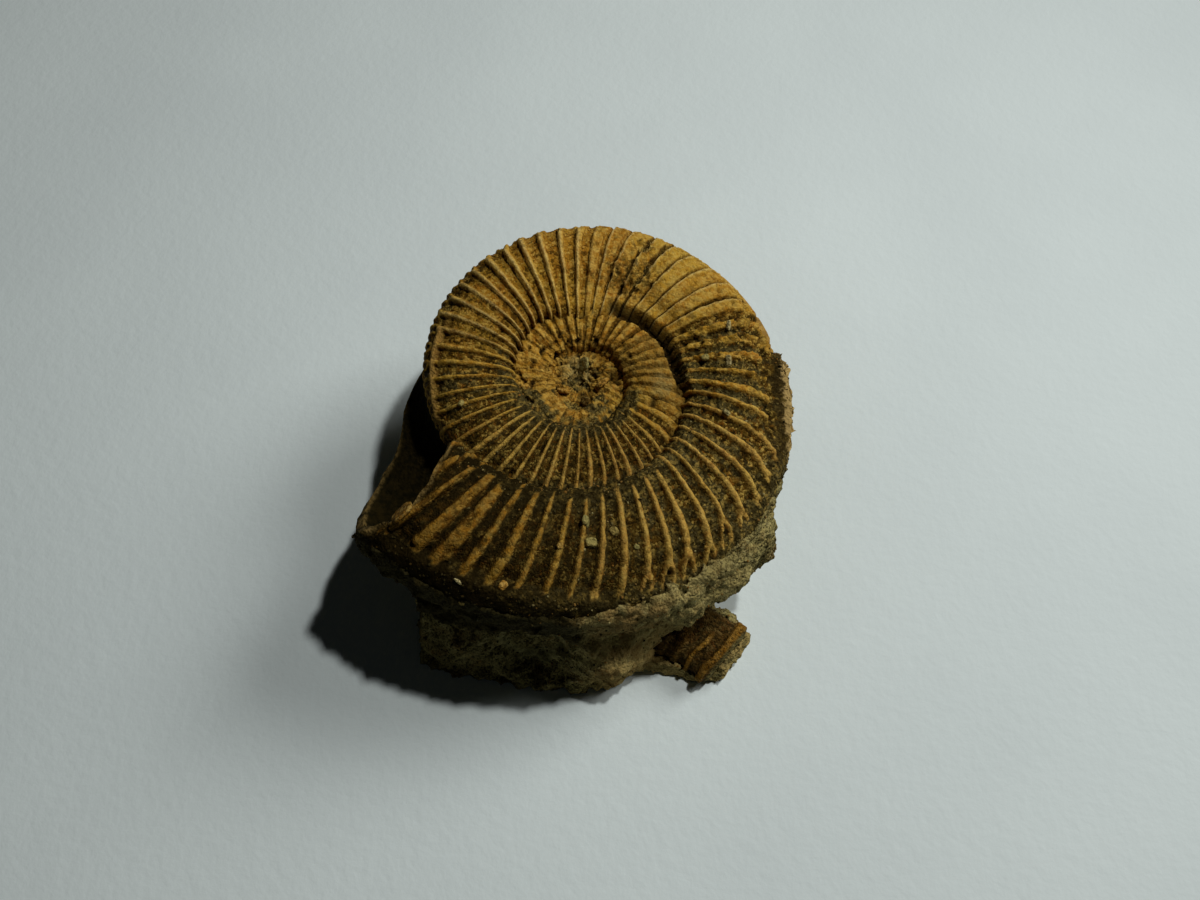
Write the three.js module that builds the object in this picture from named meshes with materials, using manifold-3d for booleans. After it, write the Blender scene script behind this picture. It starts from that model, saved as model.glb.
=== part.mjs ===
// A Dactylioceras ammonite that lies half free in its lump of mudstone, with a piece
// of a second shell in the same lump. Millimetres, +Z up, origin under the middle of
// the object on the surface that it rests on.
import * as THREE from 'three';
import { mergeVertices } from 'three/addons/utils/BufferGeometryUtils.js';
import Module from 'manifold-3d';

const wasm = await Module();
wasm.setup();
const rad = THREE.MathUtils.degToRad;

// Where the upright line through the middle of the coil stands, seen from the origin
const AXIS_PLACE = new THREE.Vector3(-0.496, 6.676, 0);

// Place and lean of the coiled shell, with sizes from here on taken from that line
const DISC_CENTRE = new THREE.Vector3(0, 0, 22);
const TILT_FRONT = 4.4;
const TILT_RIGHT = 5.6;

// Coil: the growth angle is 0 at the left and runs by the back, the right and the front
const REFERENCE_RADIUS = 22.5;
const GROWTH_OUTER = 1.763;
const GROWTH_INNER = 2.203;
const WHORL_GRIP = 0.95;
const WHORL_SINK = 0.6;
const THICKNESS_RATIO = 0.876;
const SECTION_POWER = 2 / 2.3;

// Ribs: growth angle and rib number, with even spacing in between
const RIB_KNOTS = [
  [-720, -78], [-400, -49], [-300, -39], [-200, -28], [-136, -20],
  [0, 0], [158.5, 22], [226, 32], [319.5, 47], [372, 55.5],
];
const RIB_RELIEF = 0.11;
const VENTER_RELIEF = 0.08;

// How far a rib swings forwards across the flank, on the young whorls and on the last one
const LEAN_YOUNG = 1.5;
const LEAN_OLD = 5.5;
const LEAN_YOUNG_END = 60;
const LEAN_OLD_START = 200;

// Rib numbers where the coil starts, where the next whorl stops covering its edge, where
// the mudstone hides the edge, where the living chamber is joined on, and of the last rib
const COIL_FIRST = -78;
const EDGE_FREE = -10;
const EDGE_BURIED = 24;
const CHAMBER_JOINT = 43;
const COIL_LAST = 55.5;

// Points along the coil stand half a rib apart, and half of that on the free outer edge
const RIB_STEP = 0.5;
const EDGE_STEP = 0.25;

// Rows of the whorl section in degrees: 0 is the outer edge, 180 the inner one, and the
// upper flank is above 0. The rows of the outer edge hold two ribs for each flank rib.
const UPPER_ROWS = [150, 124, 96, 66, 37];
const LOWER_ROWS = [-150, -116, -76, -37];
const EDGE_ROWS = [18, 0, -18];
const CENTRE_RISE = 1.3;

// Broken living chamber at the end of the coil
const CHAMBER_FLOOR = 303;
const CHAMBER_END = 380;
const CHAMBER_STEP = 8;
const CHAMBER_SIDES = 12;
const SHELL_WALL = 0.9;
const FLANGE_TOP = -1.5;

// Outlines, as growth angle and radius, of what is broken off the upper flank, and off the
// outer edge and lower flank
const UPPER_BREAK = [
  [327, 17], [324.5, 20.9], [320, 24.2], [317.6, 27], [316.1, 29.6], [315.4, 32], [316.7, 34.5],
  [319, 36.2], [322, 38], [324, 46], [350, 46], [378, 46], [378, 14],
];
const LOWER_BREAK = [
  [321, 46], [321, 38.2], [328, 35.4], [332, 32.7], [340, 27.8], [348, 25.8], [355, 25],
  [364, 23.6], [378, 20], [378, 46], [350, 46],
];

// Mudstone crust round the outer edge: growth angle, share of the radius where it starts on
// the flank, and how far it stands out at the shoulder, at the middle and at its foot
const CRUST = [
  [167, 0.97, 0.4, 1.4, 0.2],
  [170, 0.93, 1.4, 2.6, 0.8],
  [180, 0.89, 1, 1.9, 0.6],
  [190, 0.86, 0.6, 1.7, 0.8],
  [202, 0.87, 0.4, 1.7, 1.2],
  [212, 0.9, 0.4, 1.8, 2.2],
  [219, 0.92, 0.8, 3, 4.6],
  [227, 0.94, 1, 2.9, 4.2],
  [236, 0.93, 1.4, 2.9, 3.4],
  [247, 0.92, 1.6, 2.8, 2.2],
  [256, 0.91, 1.4, 2.4, 1.9],
  [262, 0.9, 1.1, 1.6, -0.6],
  [280, 0.9, 0.7, 1.3, -1],
  [304, 0.92, 0.5, 1.3, -1],
  [314, 0.94, 0.4, 1.3, -1],
  [321, 0.96, 0.4, 1.5, -1],
];
const CRUST_STEP = 7;

// Heights of those places as shares of the whorl's half thickness, how far the crust runs
// in under the shell and below it, and how far its thin edge stands up from the flank
const CRUST_SHOULDER = 0.42;
const CRUST_MIDDLE = -0.15;
const CRUST_FOOT = -0.75;
const CRUST_TUCK = 6;
const CRUST_DROP = 1;
const CRUST_FEATHER = 0.1;

// Block under the shell: outlines at five heights, from the front left corner by the front
const BLOCK_LEVELS = [
  [0, [[-23.9, -35], [-17.6, -37.2], [-9, -38.6], [-0.8, -39.3], [4.3, -38.2], [8.7, -36.4],
    [15, -31], [20, -25], [22, -13], [19, -1], [7, 7], [-8, 7], [-19, -1], [-24, -17]]],
  [5, [[-23.2, -33], [-17.7, -34.9], [-9, -36.2], [0, -37.2], [4.5, -36], [8.6, -35],
    [16, -30.5], [21.5, -25], [25, -13], [21.5, 1], [8, 10.5], [-9, 10], [-21, 0.5], [-24.8, -16]]],
  [10, [[-22.6, -31.6], [-17.8, -33.2], [-9.6, -34.6], [0.5, -35.4], [4.6, -34.2], [8.6, -34],
    [17, -29.5], [23.5, -24], [27.5, -12.5], [23.5, 3], [9, 13], [-10, 12.5], [-22, 2], [-25.2, -15]]],
  [15.5, [[-22.2, -30.4], [-17.8, -31.8], [-10.8, -33.2], [0.8, -34], [4.5, -33.6], [8.6, -33.4],
    [17, -29.5], [24.5, -22], [28, -11], [24.5, 3], [9, 14], [-10, 13.5], [-21.5, 3], [-24.5, -13]]],
  [20, [[-18, -24], [-15, -26], [-9, -28], [0.8, -28.5], [4.5, -28], [8, -27],
    [14, -24], [19, -18], [21, -9], [17, 2], [6, 9], [-7, 9], [-15, 2], [-19, -11]]],
];

// Round hollow in the front face of the block
const HOLLOW_CENTRE = new THREE.Vector3(-6.5, -43, 8.5);
const HOLLOW_RADIUS = 9;
const HOLLOW_DETAIL = 3;

// Piece of a second whorl at the front right, on an arc of its own: angles from +X
const SECOND_CENTRE = new THREE.Vector3(4.6, -52.4, 3.6);
const SECOND_RADIUS = 24.1;
const SECOND_HALF_WIDTH = 5.3;
const SECOND_HALF_THICK = 3.4;
const SECOND_ROLL = 18;
const SECOND_FROM = 79;
const SECOND_TO = 47.2;
const SECOND_RIB = 50;
const SECOND_RIB_STEP = 6.4;
const SECOND_RELIEF = 0.7;
const SECOND_SIDES = 12;
const SECOND_FLOOR = 1.2;

// Tongue of mudstone that it lies on, at three heights
const TONGUE_LEVELS = [
  [0, [[6, -35], [10.8, -36.4], [17, -37.6], [20.3, -37.4], [22.5, -34.8], [24.4, -32], [22.5, -28],
    [14, -24]]],
  [2.6, [[6, -34.5], [10.8, -35.8], [17, -37], [20.9, -37.2], [23.2, -34.6], [25, -31.6], [23, -28],
    [14, -24]]],
  [5, [[7, -33], [11, -33], [17, -34], [21, -35.5], [23.4, -34], [24.4, -31.6], [21.5, -28.5],
    [14, -25]]],
];

// Gap between the pieces. A bed is the smooth space that a shell takes in the mudstone, made
// in lengths, with some slack for what its flat facets would cut off.
const GAP = 0.3;
const BED_SLACK = 0.35;
const BED_STEP = 12;
const BED_SIDES = 14;
const BED_LENGTHS = [[-720, -360], [-364, 0], [-4, 190], [186, 376]];
const SECOND_BED_SLACK = 0.22;
const SECOND_BED_SIDES = 16;
const SECOND_BED_FROM = 83;
const SECOND_BED_TO = 46.3;

// Size of a solid that only cuts away what is beyond it
const CUT_DEPTH = 30;
const CUT_WIDTH = 200;

const listOf = (count, make) => Array.from({ length: count }, (empty, i) => make(i));
const signedPower = (value, power) => Math.sign(value) * Math.abs(value) ** power;

// Wave that is 0 at every whole turn and 1 halfway between them
const wave = (turns) => 0.5 - 0.5 * Math.cos(2 * Math.PI * turns);

// Values between the rows of a table whose first column is the place
function between(table, place) {
  let i = 1;
  while (i < table.length - 1 && table[i][0] < place) i += 1;
  const [from, to] = [table[i - 1], table[i]];
  const share = THREE.MathUtils.clamp((place - from[0]) / (to[0] - from[0]), 0, 1);
  return to.map((value, k) => THREE.MathUtils.lerp(from[k], value, share));
}

const RIB_PLACES = RIB_KNOTS.map(([angle, number]) => [number, angle]);
const ribAngle = (number) => between(RIB_PLACES, number)[1];

// Point of the disc's own frame at a growth angle
function discPoint(angle, radius, height) {
  return new THREE.Vector3(-Math.cos(rad(angle)) * radius, Math.sin(rad(angle)) * radius, height);
}

// Radius of the outer edge at a growth angle
function edgeRadius(angle) {
  const growth = angle > 0 ? GROWTH_OUTER : GROWTH_INNER;
  return REFERENCE_RADIUS * growth ** (angle / 360);
}

// Middle radius, half height and half thickness of the whorl section
function whorlSection(angle) {
  const outer = edgeRadius(angle);
  const inner = WHORL_GRIP * edgeRadius(angle - 360) - WHORL_SINK;
  const half = (outer - inner) / 2;
  return { middle: (outer + inner) / 2, half, thick: THICKNESS_RATIO * half };
}

// Point of the shell, offset outwards from the rib crests
function shellPoint(angle, row, offset) {
  const { middle, half, thick } = whorlSection(angle);
  const radius = middle + (half + offset) * signedPower(Math.cos(rad(row)), SECTION_POWER);
  const height = (thick + offset) * signedPower(Math.sin(rad(row)), SECTION_POWER);
  return discPoint(angle, radius, height);
}

// How far a point of the shell lies below the rib crests
function grooveDepth(number, row, angle) {
  const { half } = whorlSection(angle);
  if (EDGE_ROWS.includes(row) && number < EDGE_BURIED) {
    return VENTER_RELIEF * half * (1 - wave(2 * number));
  }
  return RIB_RELIEF * half * wave(number);
}

// Ribbed point: ribs swing forwards from the inner edge of the flank to the shoulder
function ribbedPoint(number, row) {
  const place = ribAngle(number);
  const age = THREE.MathUtils.smoothstep(place, LEAN_YOUNG_END, LEAN_OLD_START);
  const lean = THREE.MathUtils.lerp(LEAN_YOUNG, LEAN_OLD, age);
  const angle = place + lean / 2 * Math.cos(rad(row));
  return shellPoint(angle, row, -grooveDepth(number, row, angle));
}

// Solid of a closed geometry, with its shared points merged
function solidOf(source) {
  const bare = source.clone();
  bare.deleteAttribute('normal');
  bare.deleteAttribute('uv');
  const merged = mergeVertices(bare);
  return new wasm.Manifold(new wasm.Mesh({
    numProp: 3,
    vertProperties: new Float32Array(merged.attributes.position.array),
    triVerts: new Uint32Array(merged.index.array),
  }));
}

function geometryOf(solid) {
  const mesh = solid.getMesh();
  const geometry = new THREE.BufferGeometry();
  geometry.setAttribute('position', new THREE.BufferAttribute(mesh.vertProperties, 3));
  geometry.setIndex(new THREE.BufferAttribute(mesh.triVerts, 1));
  return geometry;
}

// Adds a fan of triangles from the middle of a closed ring of points
function closeRing(points, faces, ring) {
  const middle = new THREE.Vector3();
  for (const index of ring) middle.addScaledVector(points[index], 1 / ring.length);
  points.push(middle);
  ring.forEach((index, j) => {
    faces.push(index, ring[(j + 1) % ring.length], points.length - 1);
  });
}

// Closed geometry from rings of points that follow one another
function loft(rings) {
  const size = rings[0].length;
  const points = rings.flat();
  const faces = [];
  for (let i = 0; i + 1 < rings.length; i += 1) {
    for (let j = 0; j < size; j += 1) {
      const a = i * size + j;
      const b = i * size + (j + 1) % size;
      faces.push(a, b, b + size, a, b + size, a + size);
    }
  }
  closeRing(points, faces, listOf(size, (j) => size - 1 - j));
  closeRing(points, faces, listOf(size, (j) => (rings.length - 1) * size + j));
  return new THREE.BufferGeometry().setFromPoints(points).setIndex(faces);
}

// The coil up to the living chamber, as one skin: each row of a whorl's flank is joined to
// the next, and its outermost row to the innermost row of the whorl that grew over it
function coil() {
  const points = [];
  const faces = [];

  // Adds a row of points along the coil, and gives each one's growth angle and index
  const addRow = (row, from, to, step) => listOf(Math.round((to - from) / step) + 1, (k) => {
    const number = from + k * step;
    points.push(ribbedPoint(number, row));
    return [ribAngle(number), points.length - 1];
  });

  // Joins two rows of points by triangles, in the order of their growth angles
  const join = (inner, outer, upper, turn = 0) => {
    let i = 0;
    let j = 0;
    while (i < inner.length - 1 || j < outer.length - 1) {
      const nextInner = i < inner.length - 1 ? inner[i + 1][0] + turn : Infinity;
      const nextOuter = j < outer.length - 1 ? outer[j + 1][0] : Infinity;
      const innerFirst = nextInner <= nextOuter;
      const third = innerFirst ? inner[i + 1][1] : outer[j + 1][1];
      faces.push(...(upper ? [inner[i][1], third, outer[j][1]] : [outer[j][1], third, inner[i][1]]));
      if (innerFirst) i += 1;
      else j += 1;
    }
  };

  // One flank of every whorl, with the heart of the coil closed around its centre
  const place = (number) => Math.round((number - COIL_FIRST) / RIB_STEP);
  const covered = place(EDGE_FREE);
  const turnStart = place(numberAfterTurn());
  const flank = (angles, upper) => {
    const rows = angles.map((row) => addRow(row, COIL_FIRST, CHAMBER_JOINT, RIB_STEP));
    for (let k = 0; k + 1 < rows.length; k += 1) join(rows[k], rows[k + 1], upper);
    join(rows.at(-1).slice(0, covered + 1), rows[0].slice(turnStart), upper, 360);
    const heart = [...rows.map((row) => row[0][1]).reverse(),
      ...rows[0].slice(1, turnStart + 1).map(([, index]) => index)];
    points.push(new THREE.Vector3(0, 0, upper ? CENTRE_RISE : -CENTRE_RISE));
    const middle = points.length - 1;
    heart.forEach((index, k) => {
      const next = heart[(k + 1) % heart.length];
      faces.push(...(upper ? [index, middle, next] : [index, next, middle]));
    });
    return {
      free: rows.at(-1).slice(covered, place(EDGE_BURIED) + 1),
      buried: rows.at(-1).slice(place(EDGE_BURIED)),
      end: rows.map((row) => row.at(-1)[1]),
    };
  };
  const upper = flank(UPPER_ROWS, true);
  const lower = flank(LOWER_ROWS, false);

  // The outer edge: forked ribs where it is free, and a single row where it is buried
  const forked = EDGE_ROWS.map((row) => addRow(row, EDGE_FREE, EDGE_BURIED, EDGE_STEP));
  const strips = [upper.free, ...forked, lower.free];
  for (let k = 0; k + 1 < strips.length; k += 1) join(strips[k], strips[k + 1], true);
  const [first, middle, last] = forked.map((row) => row.at(-1));
  const plain = [middle, ...addRow(0, EDGE_BURIED + RIB_STEP, CHAMBER_JOINT, RIB_STEP)];
  join(upper.buried, plain, true);
  join(plain, lower.buried, true);
  faces.push(upper.free.at(-1)[1], middle[1], first[1]);
  faces.push(middle[1], lower.free.at(-1)[1], last[1]);

  // The end of the last whorl, with the step where the whorl before it comes out from under
  const ends = [...upper.end, plain.at(-1)[1], ...lower.end.reverse(), lower.free[0][1],
    ...forked.map((row) => row[0][1]).reverse(), upper.free[0][1]];
  closeRing(points, faces, ends.reverse());
  return new THREE.BufferGeometry().setFromPoints(points).setIndex(faces);
}

// First rib number, in the coil's own steps, that is a whole turn past its start
function numberAfterTurn() {
  let number = COIL_FIRST;
  while (ribAngle(number) < ribAngle(COIL_FIRST) + 360) number += RIB_STEP;
  return number;
}

// A smooth length of shell, offset outwards (or inwards, below 0) from the rib crests
function smoothWhorl(from, to, step, offset, sides) {
  const count = Math.round((to - from) / step);
  return loft(listOf(count + 1, (i) => listOf(sides, (j) => (
    shellPoint(from + (to - from) * i / count, -180 + 360 * j / sides, offset)
  ))));
}

// Upright prism over an outline of growth angles and radii
function discPrism(outline, bottom, depth) {
  const shape = new THREE.Shape(outline.map(([angle, radius]) => {
    const { x, y } = discPoint(angle, radius, 0);
    return new THREE.Vector2(x, y);
  }));
  return new THREE.ExtrudeGeometry(shape, { depth, bevelEnabled: false }).translate(0, 0, bottom);
}

// The broken living chamber: a ribbed shell, hollow from its floor on
function livingChamber() {
  const rows = [180, ...LOWER_ROWS, 0, ...[...UPPER_ROWS].reverse()];
  const first = CHAMBER_JOINT - RIB_STEP;
  const count = Math.round((COIL_LAST - first) / RIB_STEP) + 1;
  const rings = listOf(count, (k) => rows.map((row) => ribbedPoint(first + k * RIB_STEP, row)));
  const wall = SHELL_WALL + RIB_RELIEF * whorlSection(CHAMBER_FLOOR).half;
  return solidOf(loft(rings))
    .subtract(solidOf(smoothWhorl(CHAMBER_FLOOR, CHAMBER_END, CHAMBER_STEP, -wall, CHAMBER_SIDES)))
    .subtract(solidOf(discPrism(UPPER_BREAK, FLANGE_TOP, CUT_DEPTH)))
    .subtract(solidOf(discPrism(LOWER_BREAK, -CUT_DEPTH, 2 * CUT_DEPTH)));
}

// Ribbed point of the second whorl, which rolls down towards its inner edge
function secondPoint(angle, row, offset) {
  const rise = offset - SECOND_RELIEF * wave((angle - SECOND_RIB) / SECOND_RIB_STEP);
  const across = (SECOND_HALF_WIDTH + rise) * signedPower(Math.cos(rad(row)), SECTION_POWER);
  const up = (SECOND_HALF_THICK + rise) * signedPower(Math.sin(rad(row)), SECTION_POWER);
  const roll = rad(SECOND_ROLL);
  const radius = SECOND_RADIUS + across * Math.cos(roll) - up * Math.sin(roll);
  const height = across * Math.sin(roll) + up * Math.cos(roll);
  return new THREE.Vector3(Math.cos(rad(angle)) * radius, Math.sin(rad(angle)) * radius, height)
    .add(SECOND_CENTRE);
}

// A length of the second whorl, offset outwards, with four points to a rib
function secondWhorl(from, to, sides, offset) {
  const count = Math.round(4 * (from - to) / SECOND_RIB_STEP);
  return solidOf(loft(listOf(count + 1, (i) => listOf(sides, (j) => (
    secondPoint(from + (to - from) * i / count, -180 + 360 * j / sides, offset)
  )))));
}

// Everything under a height
function below(height) {
  const box = new THREE.BoxGeometry(CUT_WIDTH, CUT_WIDTH, CUT_DEPTH);
  return solidOf(box.translate(0, 0, height - CUT_DEPTH / 2));
}

// Solid over outlines at several heights
function lump(levels) {
  return solidOf(loft(levels.map(([height, outline]) => (
    outline.map(([x, y]) => new THREE.Vector3(x, y, height))
  ))));
}

// Crust that follows the outer edge
function crust() {
  const count = Math.floor((CRUST.at(-1)[0] - CRUST[0][0]) / CRUST_STEP) + 1;
  return loft(listOf(count, (i) => {
    const angle = CRUST[0][0] + i * CRUST_STEP;
    const [, share, shoulder, middle, foot] = between(CRUST, angle);
    const section = whorlSection(angle);
    const edge = edgeRadius(angle);
    const reach = (share * edge - section.middle) / section.half;
    const flank = section.thick * (1 - reach ** (2 / SECTION_POWER)) ** (SECTION_POWER / 2);
    return [
      discPoint(angle, section.middle, 0),
      discPoint(angle, edge - CRUST_TUCK, -section.thick - CRUST_DROP),
      discPoint(angle, edge + foot, CRUST_FOOT * section.thick),
      discPoint(angle, edge + middle, CRUST_MIDDLE * section.thick),
      discPoint(angle, edge + shoulder, CRUST_SHOULDER * section.thick),
      discPoint(angle, share * edge, flank + CRUST_FEATHER),
    ];
  }));
}

const part = new THREE.Group();
part.position.copy(AXIS_PLACE);
const disc = new THREE.Group();
disc.position.copy(DISC_CENTRE);
disc.rotation.set(rad(TILT_FRONT), rad(TILT_RIGHT), 0, 'YXZ');
disc.updateMatrix();
part.add(disc);

// The mudstone: block, crust and tongue, less the hollow and the beds of both shells
function mudstone() {
  const onDisc = (geometry) => solidOf(geometry.applyMatrix4(disc.matrix));
  const hollow = new THREE.IcosahedronGeometry(HOLLOW_RADIUS, HOLLOW_DETAIL).translate(...HOLLOW_CENTRE);
  const beds = BED_LENGTHS.map(([from, to]) => (
    onDisc(smoothWhorl(from, to, BED_STEP, GAP + BED_SLACK, BED_SIDES))
  ));
  const secondBed = secondWhorl(SECOND_BED_FROM, SECOND_BED_TO, SECOND_BED_SIDES, GAP + SECOND_BED_SLACK)
    .subtract(below(SECOND_FLOOR - GAP));
  const whole = lump(BLOCK_LEVELS).add(onDisc(crust())).add(lump(TONGUE_LEVELS));
  return [solidOf(hollow), ...beds, secondBed].reduce((rest, cut) => rest.subtract(cut), whole);
}

function secondPiece() {
  return secondWhorl(SECOND_FROM, SECOND_TO, SECOND_SIDES, 0).subtract(below(SECOND_FLOOR));
}

function addPiece(parent, name, solid, color) {
  const material = new THREE.MeshStandardMaterial({ color, roughness: 0.85, metalness: 0 });
  material.flatShading = true;
  const mesh = new THREE.Mesh(geometryOf(solid), material);
  mesh.name = name;
  parent.add(mesh);
}

addPiece(disc, 'ammonite', solidOf(coil()).add(livingChamber()), 0x8a6a38);
addPiece(part, 'matrix', mudstone(), 0x5a5238);
addPiece(part, 'whorl_fragment', secondPiece(), 0x6b4a26);
export default part;
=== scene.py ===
"""A Dactylioceras ammonite, half free of its lump of mudstone, with a piece of a second shell."""

from math import copysign, cos, e, pi, radians, sin

import bmesh
import bpy
from mathutils import Euler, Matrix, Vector


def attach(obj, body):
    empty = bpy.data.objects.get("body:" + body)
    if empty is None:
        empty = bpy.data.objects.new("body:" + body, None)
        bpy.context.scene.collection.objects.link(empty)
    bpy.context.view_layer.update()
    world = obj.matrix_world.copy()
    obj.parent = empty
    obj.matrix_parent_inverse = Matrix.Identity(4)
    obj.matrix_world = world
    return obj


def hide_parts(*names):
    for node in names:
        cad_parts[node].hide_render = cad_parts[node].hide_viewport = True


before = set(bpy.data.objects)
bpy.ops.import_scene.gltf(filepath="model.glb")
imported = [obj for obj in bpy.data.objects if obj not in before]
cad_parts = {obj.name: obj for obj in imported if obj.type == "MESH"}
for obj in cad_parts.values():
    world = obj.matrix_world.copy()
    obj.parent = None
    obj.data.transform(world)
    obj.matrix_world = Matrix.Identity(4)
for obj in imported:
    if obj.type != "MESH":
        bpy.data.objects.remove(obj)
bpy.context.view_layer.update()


# The main shell
# A coiled tube of calcite, 66 mm across, that grew round and round one plane. It is full of
# rock up to the floor of its living chamber, which broke open at the left, and mud has set
# in its grooves. It leans a little to the front and right. Sizes are in millimetres.
MM = 0.001
AXIS_PLACE = Vector((-0.496, 6.676, 0))
DISC_CENTRE = Vector((0, 0, 22))
DISC_LEAN = Euler((radians(4.4), radians(5.6), 0))

SHELL_SIZES = {
    "Reference Radius": 22.5, "Outer Growth": 1.763, "Inner Growth": 2.203,
    "Whorl Grip": 0.95, "Whorl Sink": 0.6, "Thickness": 0.876, "Section Power": 2 / 2.3,
    "Rib Relief": 0.11, "Shell Wall": 1.15, "Chamber Floor": 303,
}

# Growth angle in degrees (0 at the left, then back, right and front) and rib number
RIB_PLACES = [
    (-720, -78), (-400, -49), (-300, -39), (-200, -28), (-136, -20), (0, 0),
    (158.5, 22), (226, 32), (319.5, 47), (372, 55.5),
]
# By growth angle: how far a rib swings forwards, its half breadth as a share of the spacing,
# how soft its sides are, how much of its crest has crumbled off, how high it stands, and
# the row where it forks
RIB_LEAN = [
    (-360, 0.5), (-120, -1), (-50, -0.5), (0, 1.5), (60, 1.5), (105, 3), (150, 4),
    (190, 7), (245, 7), (285, 3.5), (330, 3.5),
]
RIB_BREADTH = [
    (-400, 0.3), (-170, 0.34), (-135, 0.18), (-60, 0.15), (10, 0.15), (85, 0.17), (103, 0.42),
    (146, 0.43), (160, 0.24), (200, 0.17), (270, 0.15), (292, 0.2), (302, 0.3), (312, 0.2),
    (330, 0.2),
]
RIB_SOFTNESS = [(-60, 0.1), (0, 0.07), (85, 0.06), (100, 0.04), (146, 0.04), (170, 0.1), (330, 0.11)]
RIB_DAMAGE = [
    (-500, 1), (-250, 0.8), (-60, 0.5), (0, 0.45), (80, 0.4), (92, 0.9), (104, 0.35),
    (146, 0.4), (160, 1), (188, 0.9), (205, 0.5), (280, 0.55), (300, 0.95), (330, 1.05),
]
RIB_HEIGHT = [
    (-700, 0.15), (-400, 0.3), (-345, 0.3), (-315, 0.45), (-285, 0.9), (-235, 0.75),
    (-210, 0.8), (-185, 0.75), (-165, 0.6), (-140, 0.85), (-110, 1),
]
FORK_ROW = [(-40, 20), (0, 48), (90, 48), (150, 50), (200, 54), (250, 60), (264, 44), (330, 40)]
# By growth angle: how high mud stands in the grooves and near the seam, how dark the
# grooves are with dirt and painted shade, and how much painted shade darkens the shell as a whole
MUD_DEPTH = [
    (-700, -0.5), (-480, -0.3), (-430, -0.1), (-340, -0.5), (-170, -0.5), (-120, -0.3), (-40, -0.2),
    (-15, 0), (10, -0.3), (25, -0.45), (95, -0.45), (150, -0.35), (172, 0), (200, 0.1), (250, 0.12),
    (285, 0), (330, -0.15),
]
SEAM_MUD = [
    (-500, 0.7), (-410, 0.9), (-300, 0.3), (-150, 0.3), (-115, 1.1), (-60, 1.3), (-20, 1.1),
    (20, 0.5), (60, 0.25), (150, 0.1), (200, 0.5), (240, 1), (300, 1.1), (330, 0.7),
]
DIRT_AND_SHADE = [
    (-700, 0.2), (-360, 0.14), (-170, 0.25), (-140, 0.8), (-60, 1), (-20, 0.9), (15, 0.45),
    (45, 0.3), (95, 0.3), (150, 0.5), (172, 0.95), (330, 1.05),
]
PAINTED_SHADE_BY_ANGLE = [
    (-900, 0.2), (-450, 0.08), (-400, 0), (-280, 0.05), (-220, 0.25), (-60, 0.55),
    (-20, 0.35), (20, 0.35), (60, 0.12), (85, 0), (105, 0.22), (150, 0.25), (175, 0.12),
    (230, 0.12), (265, 0.65), (300, 0.9), (330, 0.95),
]
# By growth angle: how open the seam inside the outer whorl is and how far it lies from the
# axis, the share of the edge's radius where the crust of mudstone starts, and the row
# where a raised cord of calcite runs at the left
SEAM_GAP = [(106, 0), (116, 0.75), (126, 0.95), (155, 1), (174, 0.95), (190, 0)]
GAP_RADIUS = [
    (118, 11.4), (130, 11.9), (141, 12.4), (149, 12.8), (157, 13.1), (166, 13.2),
    (175, 13.5), (183, 14.1),
]
CRUST_EDGE = [
    (160, 1.1), (170, 0.985), (197, 0.965), (216, 0.965), (228, 0.98), (238, 0.99),
    (250, 0.975), (263, 0.965), (274, 0.94), (297, 0.936), (306, 0.95), (321, 0.98),
]
CORD_ROW = [(-24, 12), (-16, 26), (-6, 37), (12.5, 47), (24, 51)]

# By row of the whorl's section (0 at the outer edge, 180 at the inner one, above 0 on the
# upper flank): the growth angle at which the living chamber is broken off
CHAMBER_START = 258
CHAMBER_BREAK = [
    (-180, 326), (-177, 327), (-171, 369), (-160, 372), (-133, 364), (-118, 355),
    (-111, 348), (-96, 340), (-68, 332), (-44, 328), (-20, 323), (10, 321),
    (29, 318.9), (47, 316.7), (67, 315.6), (82, 316.1), (94, 317.6), (111, 320.2),
    (139, 324.5), (150, 326), (180, 326),
]
# Columns of points up to this angle, from there to the break, over its edge, and back inside
CHAMBER_EVEN = 311
CHAMBER_COLUMNS = (74, 44, 3, 34)

# Lengths of the coil: growth angles, points along it and around it, and how the rows are
# shared out, as share of the points and row
COIL_ROWS = [(0, 180), (0.07, 150), (0.76, 22), (0.82, -22), (0.93, -150), (1, -180)]
LAST_ROWS = [(0, 180), (0.03, 150), (0.6, 22), (0.78, -24), (0.95, -150), (1, -180)]
COIL_LENGTHS = [
    (-1300, -380, 430, 43, COIL_ROWS), (-384, -62, 340, 50, COIL_ROWS),
    (-66, 262, 550, 86, LAST_ROWS),
]
CHAMBER_ROWS = [(0, 180), (0.05, 150), (0.56, 22), (0.68, -24), (0.93, -150), (1, -180)]
CHAMBER_AROUND = 90
# How deep the open seam is, and how close two points of a tube are one
GAP_DEPTH = 2.6
WELD = 0.002


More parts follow.
